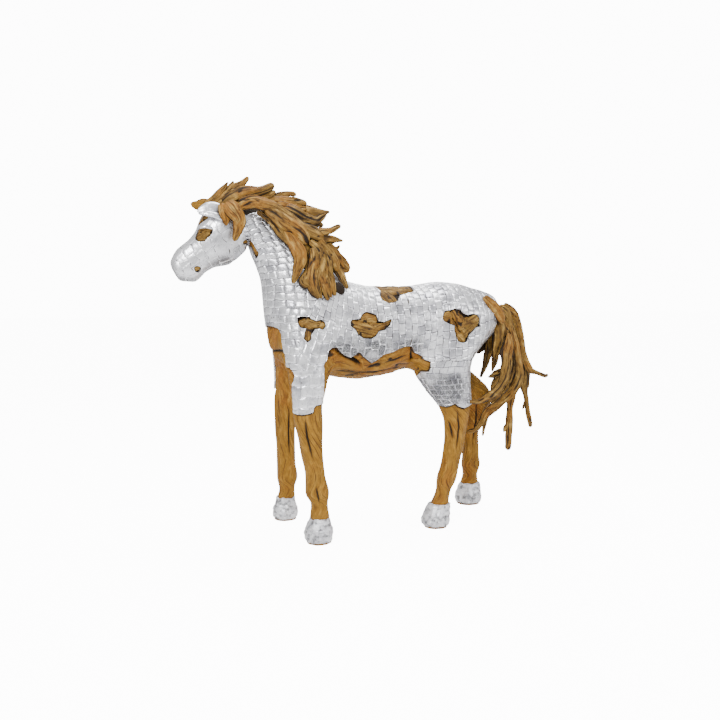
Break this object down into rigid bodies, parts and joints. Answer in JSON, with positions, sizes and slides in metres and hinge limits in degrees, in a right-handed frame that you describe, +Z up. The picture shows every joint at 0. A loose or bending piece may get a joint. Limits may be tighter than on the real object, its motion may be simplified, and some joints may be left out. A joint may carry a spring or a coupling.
{
  "type": "root wood and metal horse sculpture",
  "caption": "Life-size standing horse of root wood, clad in hammered metal tiles with bare wood patches and legs, and a driftwood mane and tail.",
  "frame": {"origin": "on the ground under the middle of the whole length and width", "axes": "+Z up, the horse faces -X, its left side is -Y"},
  "size_m": [2.4372, 0.635, 2.0945],
  "materials": {
    "root_wood": "oiled root wood, golden brown with dark streaks",
    "mane_wood": "dry driftwood, brown with dark cracks",
    "sheet_metal": "hammered tiles, bright with grey joints",
    "hoof_metal": "crinkled sheet"
  },
  "bodies": {
    "root": {"carved_body": "root_wood", "metal_cladding": "sheet_metal", "near_fore_hoof_cap": "hoof_metal", "far_fore_hoof_cap": "hoof_metal", "near_hind_hoof_cap": "hoof_metal", "far_hind_hoof_cap": "hoof_metal", "near_ear": "sheet_metal", "far_ear": "root_wood", "mane_lock_01": "mane_wood", "mane_lock_02": "mane_wood", "mane_lock_03": "mane_wood", "mane_lock_04": "mane_wood", "mane_lock_05": "mane_wood", "mane_lock_06": "mane_wood", "mane_lock_07": "mane_wood", "mane_lock_08": "mane_wood", "mane_lock_09": "mane_wood", "mane_lock_10": "mane_wood", "mane_lock_11": "mane_wood", "mane_lock_12": "mane_wood", "mane_lock_13": "mane_wood", "mane_lock_14": "mane_wood", "mane_lock_15": "mane_wood", "mane_lock_16": "mane_wood", "mane_lock_17": "mane_wood", "mane_lock_18": "mane_wood", "mane_lock_19": "mane_wood", "mane_lock_20": "mane_wood", "mane_lock_21": "mane_wood", "mane_lock_22": "mane_wood", "mane_lock_23": "mane_wood", "mane_lock_24": "mane_wood", "mane_lock_25": "mane_wood", "mane_lock_26": "mane_wood", "tail_root_01": "mane_wood", "tail_root_02": "mane_wood", "tail_root_03": "mane_wood", "tail_root_04": "mane_wood", "tail_root_05": "mane_wood", "tail_root_06": "mane_wood", "tail_root_07": "mane_wood", "tail_root_08": "mane_wood", "tail_root_09": "mane_wood", "tail_root_10": "mane_wood"}
  },
  "joints": []
}
